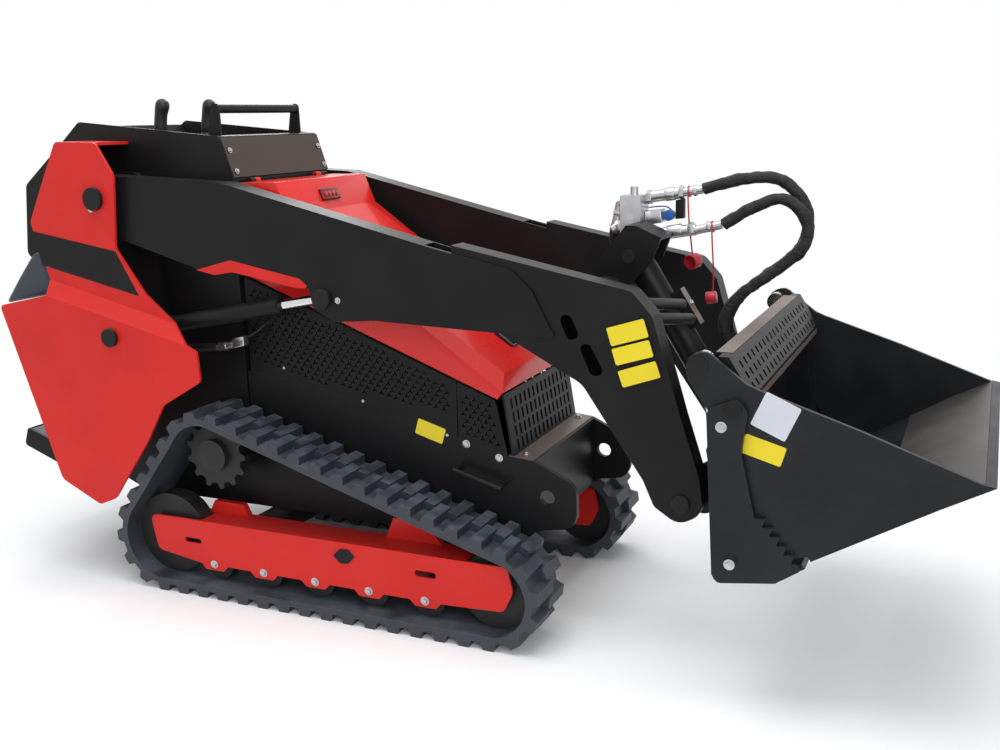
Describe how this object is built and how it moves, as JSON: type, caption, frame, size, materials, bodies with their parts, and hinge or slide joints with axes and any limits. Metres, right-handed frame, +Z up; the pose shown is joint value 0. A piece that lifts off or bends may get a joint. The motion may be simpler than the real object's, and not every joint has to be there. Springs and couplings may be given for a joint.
{
  "type": "mini skid steer loader",
  "caption": "Stand-on mini skid steer loader on rubber tracks, with bent lift arms, a rear operator platform and an opening clam bucket on a tilting coupler.",
  "frame": {"origin": "middle of the footprint on the ground, under the whole machine", "axes": "+X forward towards the bucket, +Y to the operator's left, +Z up"},
  "size_m": [2.958, 1.038, 1.4602],
  "materials": {
    "red_paint": "glossy red paint",
    "black_paint": "satin black paint",
    "chrome_rod": "polished hard chrome",
    "bright_steel": "zinc plated steel",
    "bronze_paint": "dull bronze paint",
    "track_rubber": "matt moulded rubber",
    "soft_black": "soft matt rubber",
    "cast_grey": "rough cast"
  },
  "bodies": {
    "machine": {"axle_beams": "black_paint", "chassis": "black_paint", "console": "black_paint", "dash_plate": "bronze_paint", "drive_motors": "cast_grey", "engine": "cast_grey", "grab_bar": "black_paint", "grab_handles": "black_paint", "grille": "black_paint", "joysticks": "soft_black", "knee_pads": "soft_black", "side_panels": "red_paint", "sprocket_left": "black_paint", "sprocket_right": "black_paint", "tower_braces": "black_paint", "tower_left": "red_paint", "tower_pins": "bright_steel", "tower_right": "red_paint", "track_frame_left": "black_paint", "track_frame_right": "black_paint", "track_left": "track_rubber", "track_right": "track_rubber", "track_wheels_left": "black_paint", "track_wheels_right": "black_paint"},
    "hood": {"hood": "red_paint"},
    "platform": {"platform": "red_paint", "platform_tread": "soft_black"},
    "lift_arm": {"arm_left": "black_paint", "arm_right": "black_paint", "arm_cross_member": "black_paint", "arm_pins": "bright_steel", "line_fittings": "bright_steel", "hose_upper": "soft_black", "hose_lower": "soft_black", "feed_hose": "soft_black"},
    "lift_barrels": {"lift_barrels": "black_paint"},
    "lift_rods": {"lift_rods": "chrome_rod"},
    "tilt_barrel": {"tilt_barrel": "black_paint"},
    "tilt_rod": {"tilt_rod": "chrome_rod"},
    "bucket": {"coupler": "black_paint", "moldboard": "black_paint", "spill_guard": "black_paint", "bucket_pins": "bright_steel"},
    "jaw": {"jaw": "black_paint", "jaw_pins": "bright_steel"},
    "clam_barrels": {"clam_barrels": "black_paint"},
    "clam_rods": {"clam_rods": "chrome_rod"}
  },
  "joints": [
    {"name": "arm_lift", "type": "hinge", "parent": "machine", "child": "lift_arm", "pos_m": [-0.9559, 0, 1.177], "axis": [0, -1, 0], "range_deg": [-9, 50.3]},
    {"name": "lift_barrel_swing", "type": "hinge", "parent": "machine", "child": "lift_barrels", "pos_m": [-0.9079, 0, 0.779], "axis": [0, -1, 0], "range_deg": [-7.81, 41.37]},
    {"name": "lift_rod_slide", "type": "slide", "parent": "lift_barrels", "child": "lift_rods", "axis": [0.9818, 0, 0.1901], "range_m": [-0.05766, 0.31307]},
    {"name": "bucket_tilt", "type": "hinge", "parent": "lift_arm", "child": "bucket", "pos_m": [0.7811, 0, 0.451], "axis": [0, -1, 0], "range_deg": [-115, 0]},
    {"name": "tilt_barrel_swing", "type": "hinge", "parent": "lift_arm", "child": "tilt_barrel", "pos_m": [0.5501, 0, 1.015], "axis": [0, -1, 0], "range_deg": [-3.5, 0.5]},
    {"name": "tilt_rod_slide", "type": "slide", "parent": "tilt_barrel", "child": "tilt_rod", "axis": [0.5259, 0, -0.8505], "range_m": [-0.002, 0.25658]},
    {"name": "jaw_open", "type": "hinge", "parent": "bucket", "child": "jaw", "pos_m": [0.9351, 0, 0.74], "axis": [0, -1, 0], "range_deg": [0, 70]},
    {"name": "clam_barrel_swing", "type": "hinge", "parent": "bucket", "child": "clam_barrels", "pos_m": [0.9381, 0, 0.385], "axis": [0, -1, 0], "range_deg": [-0.5, 10.04]},
    {"name": "clam_rod_slide", "type": "slide", "parent": "clam_barrels", "child": "clam_rods", "axis": [-0.1923, 0, 0.9813], "range_m": [-0.12695, 0.002]},
    {"name": "hood_open", "type": "hinge", "parent": "machine", "child": "hood", "pos_m": [-0.5569, 0, 1.218], "axis": [0, -1, 0], "range_deg": [0, 60]},
    {"name": "platform_fold", "type": "hinge", "parent": "machine", "child": "platform", "pos_m": [-1.1519, 0, 0.296], "axis": [0, 1, 0], "range_deg": [-19.4, 55]}
  ],
  "couplings": [
    {"joint": "lift_barrel_swing", "follows": "arm_lift", "ratio": 0.81258},
    {"joint": "lift_rod_slide", "follows": "arm_lift", "m_per_rad": 0.35433},
    {"joint": "tilt_barrel_swing", "follows": "bucket_tilt", "ratio": 0.026068},
    {"joint": "tilt_rod_slide", "follows": "bucket_tilt", "m_per_rad": -0.12684},
    {"joint": "clam_barrel_swing", "follows": "jaw_open", "ratio": 0.13627},
    {"joint": "clam_rod_slide", "follows": "jaw_open", "m_per_rad": -0.10227}
  ]
}
